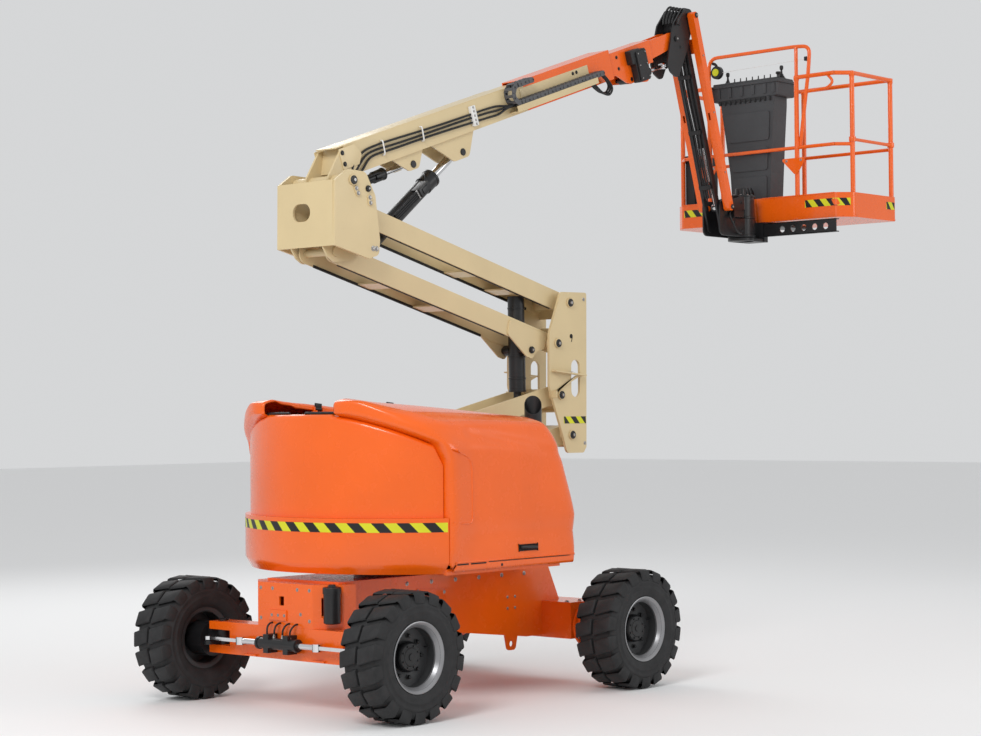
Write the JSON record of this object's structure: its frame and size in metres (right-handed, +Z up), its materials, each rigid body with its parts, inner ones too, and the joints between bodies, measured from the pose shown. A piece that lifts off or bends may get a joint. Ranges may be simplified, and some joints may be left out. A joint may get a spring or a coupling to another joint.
{
  "type": "articulating boom lift",
  "caption": "Self-propelled articulating boom lift: wheeled chassis, slewing turntable with hoods, folding tower, telescoping boom, jib and railed work basket.",
  "frame": {"origin": "on the ground at the middle of the bounding box", "axes": "+X from the counterweight towards the basket, +Z up"},
  "size_m": [6.5261, 2.34, 5.2174],
  "materials": {
    "orange_paint": "gloss",
    "orange_iron": "gloss paint",
    "cream_paint": "satin",
    "black_paint": "satin",
    "rim_paint": "satin",
    "tyre": "matt",
    "engine": "dull",
    "dark_plastic": "matt",
    "grey_plastic": "matt",
    "bright_rod": "polished"
  },
  "bodies": {
    "chassis": {"chassis_frame": "orange_paint", "steer_axle": "orange_paint", "drive_axle": "orange_paint", "steer_cylinder": "black_paint", "slew_ring": "black_paint", "filter_canister": "black_paint"},
    "knuckle_near": {"knuckle_near": "black_paint"},
    "knuckle_far": {"knuckle_far": "black_paint"},
    "steer_rods": {"steer_rods": "bright_rod"},
    "wheel_steer_near": {"tyre_steer_near": "tyre", "rim_steer_near": "rim_paint"},
    "wheel_steer_far": {"tyre_steer_far": "tyre", "rim_steer_far": "rim_paint"},
    "wheel_drive_near": {"tyre_drive_near": "tyre", "rim_drive_near": "rim_paint"},
    "wheel_drive_far": {"tyre_drive_far": "tyre", "rim_drive_far": "rim_paint"},
    "turntable": {"turntable_frame": "orange_paint", "counterweight": "orange_iron", "tail_cover": "orange_paint", "engine_block": "engine", "tank_block": "dark_plastic", "exhaust_stack": "black_paint"},
    "hood_near": {"hood_near": "orange_paint"},
    "hood_far": {"hood_far": "orange_paint"},
    "lower_arm": {"lower_arm": "cream_paint"},
    "lower_link": {"lower_link": "cream_paint"},
    "column": {"column": "cream_paint"},
    "upper_arm": {"upper_arm": "cream_paint"},
    "upper_link": {"upper_link": "cream_paint"},
    "upright": {"upright": "cream_paint"},
    "tower_barrel": {"tower_barrel": "black_paint"},
    "tower_rod": {"tower_rod": "bright_rod"},
    "boom": {"boom_base": "cream_paint", "boom_front": "orange_paint", "cable_carrier": "grey_plastic"},
    "lift_barrel": {"lift_barrel": "black_paint"},
    "lift_rod": {"lift_rod": "bright_rod"},
    "level_barrel": {"level_barrel": "black_paint"},
    "level_rod": {"level_rod": "bright_rod"},
    "fly": {"fly_boom": "orange_paint", "valve_box": "dark_plastic"},
    "jib_head": {"tip_bracket": "black_paint"},
    "slave_barrel": {"slave_barrel": "black_paint"},
    "slave_rod": {"slave_rod": "bright_rod"},
    "jib": {"jib_bars": "orange_paint"},
    "jib_link": {"jib_link": "black_paint"},
    "jib_barrel": {"jib_barrel": "black_paint"},
    "jib_rod": {"jib_rod": "bright_rod"},
    "platform_support": {"platform_support": "black_paint"},
    "basket": {"basket_support": "black_paint", "basket_floor": "orange_paint", "basket_rails": "orange_paint", "hoop_frame": "orange_paint", "console": "grey_plastic", "manual_box": "dark_plastic"},
    "gate": {"gate_bar": "orange_paint"}
  },
  "joints": [
    {"name": "swing", "type": "hinge", "parent": "chassis", "child": "turntable", "pos_m": [-1.69874, 0, 0.85], "axis": [0, 0, 1], "range_deg": [-177.5, 177.5]},
    {"name": "tower_lift", "type": "hinge", "parent": "turntable", "child": "lower_arm", "pos_m": [-2.347, 0, 1.30527], "axis": [0, -1, 0], "range_deg": [-16, 46]},
    {"name": "lower_link_turn", "type": "hinge", "parent": "turntable", "child": "lower_link", "pos_m": [-2.469, 0, 1.60327], "axis": [0, -1, 0], "range_deg": [-16.2, 46.2]},
    {"name": "column_turn", "type": "hinge", "parent": "lower_arm", "child": "column", "pos_m": [-0.20974, 0, 1.783], "axis": [0, -1, 0], "range_deg": [-46.2, 16.2]},
    {"name": "upper_arm_turn", "type": "hinge", "parent": "column", "child": "upper_arm", "pos_m": [-0.36374, 0, 2.464], "axis": [0, -1, 0], "range_deg": [-46.2, 16.2]},
    {"name": "upper_link_turn", "type": "hinge", "parent": "column", "child": "upper_link", "pos_m": [-0.22274, 0, 2.77], "axis": [0, -1, 0], "range_deg": [-46.2, 16.2]},
    {"name": "upright_turn", "type": "hinge", "parent": "upper_arm", "child": "upright", "pos_m": [-2.5808, 0, 3.03737], "axis": [0, -1, 0], "range_deg": [-16.2, 46.2]},
    {"name": "tower_barrel_turn", "type": "hinge", "parent": "upper_arm", "child": "tower_barrel", "pos_m": [-0.58463, 0, 2.41267], "axis": [0, -1, 0], "range_deg": [-16.65, 47.48]},
    {"name": "tower_rod_slide", "type": "slide", "parent": "tower_barrel", "child": "tower_rod", "axis": [0.0135, 0, -0.9999], "range_m": [-0.16376, 0.46706]},
    {"name": "boom_lift", "type": "hinge", "parent": "upright", "child": "boom", "pos_m": [-2.54074, 0, 3.51], "axis": [0, -1, 0], "range_deg": [-18.8, 56.2]},
    {"name": "lift_barrel_turn", "type": "hinge", "parent": "upright", "child": "lift_barrel", "pos_m": [-2.19874, 0, 3.049], "axis": [0, -1, 0], "range_deg": [-16.39, 48.6]},
    {"name": "lift_rod_slide", "type": "slide", "parent": "lift_barrel", "child": "lift_rod", "axis": [0.7756, 0, 0.6312], "range_m": [-0.1726, 0.51199]},
    {"name": "level_barrel_turn", "type": "hinge", "parent": "upright", "child": "level_barrel", "pos_m": [-2.39874, 0, 3.462], "axis": [0, -1, 0], "range_deg": [-20.73, 61.56]},
    {"name": "level_rod_slide", "type": "slide", "parent": "level_barrel", "child": "level_rod", "axis": [0.9387, 0, 0.3447], "range_m": [-0.04247, 0.12297]},
    {"name": "telescope", "type": "slide", "parent": "boom", "child": "fly", "axis": [0.9466, 0, 0.3223], "range_m": [0, 2]},
    {"name": "head_level", "type": "hinge", "parent": "fly", "child": "jib_head", "pos_m": [1.28663, 0, 4.95238], "axis": [0, -1, 0], "range_deg": [-56.4, 19]},
    {"name": "slave_barrel_turn", "type": "hinge", "parent": "fly", "child": "slave_barrel", "pos_m": [0.71862, 0, 4.56359], "axis": [0, -1, 0], "range_deg": [-6.79, 19.89]},
    {"name": "slave_rod_slide", "type": "slide", "parent": "slave_barrel", "child": "slave_rod", "axis": [0.9466, 0, 0.3223], "range_m": [-0.09556, 0.0333]},
    {"name": "jib_lift", "type": "hinge", "parent": "jib_head", "child": "jib", "pos_m": [1.45863, 0, 5.15638], "axis": [0, -1, 0], "range_deg": [-11.1, 132.9]},
    {"name": "jib_link_turn", "type": "hinge", "parent": "jib_head", "child": "jib_link", "pos_m": [1.44963, 0, 4.98638], "axis": [0, -1, 0], "range_deg": [-11.3, 133.1]},
    {"name": "jib_barrel_turn", "type": "hinge", "parent": "jib_head", "child": "jib_barrel", "pos_m": [1.45263, 0, 5.04638], "axis": [0, -1, 0], "range_deg": [-11.47, 135.15]},
    {"name": "jib_rod_slide", "type": "slide", "parent": "jib_barrel", "child": "jib_rod", "axis": [0.3184, 0, -0.948], "range_m": [-0.01879, 0.20303]},
    {"name": "platform_level", "type": "hinge", "parent": "jib", "child": "platform_support", "pos_m": [1.92674, 0, 3.63476], "axis": [0, -1, 0], "range_deg": [-133.1, 11.3]},
    {"name": "platform_rotate", "type": "hinge", "parent": "platform_support", "child": "basket", "pos_m": [2.27674, 0, 3.63476], "axis": [0, 0, 1], "range_deg": [-90, 90]},
    {"name": "gate_lift", "type": "slide", "parent": "basket", "child": "gate", "axis": [0, 0, 1], "range_m": [0, 0.42]},
    {"name": "hood_near_open", "type": "hinge", "parent": "turntable", "child": "hood_near", "pos_m": [-1.99874, -0.35, 1.959], "axis": [-0.9949, 0, 0.1011], "range_deg": [0, 60]},
    {"name": "hood_far_open", "type": "hinge", "parent": "turntable", "child": "hood_far", "pos_m": [-1.99874, 0.35, 1.959], "axis": [0.9949, 0, -0.1011], "range_deg": [0, 60]},
    {"name": "steer_near", "type": "hinge", "parent": "chassis", "child": "knuckle_near", "pos_m": [-2.84174, -0.7, 0.42], "axis": [0, 0, 1], "range_deg": [-35, 35]},
    {"name": "steer_far", "type": "hinge", "parent": "chassis", "child": "knuckle_far", "pos_m": [-2.84174, 0.7, 0.42], "axis": [0, 0, 1], "range_deg": [-35.2, 35.2]},
    {"name": "steer_rod_slide", "type": "slide", "parent": "chassis", "child": "steer_rods", "axis": [0, -1, 0], "range_m": [-0.07943, 0.07943]},
    {"name": "roll_steer_near", "type": "hinge", "parent": "knuckle_near", "child": "wheel_steer_near", "pos_m": [-2.84174, -1.011, 0.42], "axis": [0, 1, 0], "continuous": true},
    {"name": "roll_steer_far", "type": "hinge", "parent": "knuckle_far", "child": "wheel_steer_far", "pos_m": [-2.84174, 1.011, 0.42], "axis": [0, 1, 0], "continuous": true},
    {"name": "roll_drive_near", "type": "hinge", "parent": "chassis", "child": "wheel_drive_near", "pos_m": [-0.55574, -1.011, 0.42], "axis": [0, 1, 0], "continuous": true},
    {"name": "roll_drive_far", "type": "hinge", "parent": "chassis", "child": "wheel_drive_far", "pos_m": [-0.55574, 1.011, 0.42], "axis": [0, 1, 0], "continuous": true}
  ],
  "couplings": [
    {"joint": "lower_link_turn", "follows": "tower_lift", "ratio": 1},
    {"joint": "column_turn", "follows": "tower_lift", "ratio": -1},
    {"joint": "upper_arm_turn", "follows": "tower_lift", "ratio": -1},
    {"joint": "upper_link_turn", "follows": "tower_lift", "ratio": -1},
    {"joint": "upright_turn", "follows": "tower_lift", "ratio": 1},
    {"joint": "tower_barrel_turn", "follows": "tower_lift", "ratio": 1.0279},
    {"joint": "tower_rod_slide", "follows": "tower_lift", "m_per_rad": 0.57926},
    {"joint": "lift_barrel_turn", "follows": "boom_lift", "ratio": 0.8613},
    {"joint": "lift_rod_slide", "follows": "boom_lift", "m_per_rad": 0.51994},
    {"joint": "level_barrel_turn", "follows": "boom_lift", "ratio": 1.0919},
    {"joint": "level_rod_slide", "follows": "boom_lift", "m_per_rad": 0.12333},
    {"joint": "head_level", "follows": "boom_lift", "ratio": -1},
    {"joint": "slave_barrel_turn", "follows": "boom_lift", "ratio": 0.35037},
    {"joint": "slave_rod_slide", "follows": "boom_lift", "m_per_rad": -0.095381},
    {"joint": "jib_link_turn", "follows": "jib_lift", "ratio": 1},
    {"joint": "jib_barrel_turn", "follows": "jib_lift", "ratio": 1.0154},
    {"joint": "jib_rod_slide", "follows": "jib_lift", "m_per_rad": 0.086668},
    {"joint": "platform_level", "follows": "jib_lift", "ratio": -1},
    {"joint": "steer_far", "follows": "steer_near", "ratio": 1},
    {"joint": "steer_rod_slide", "follows": "steer_near", "m_per_rad": 0.12676}
  ]
}
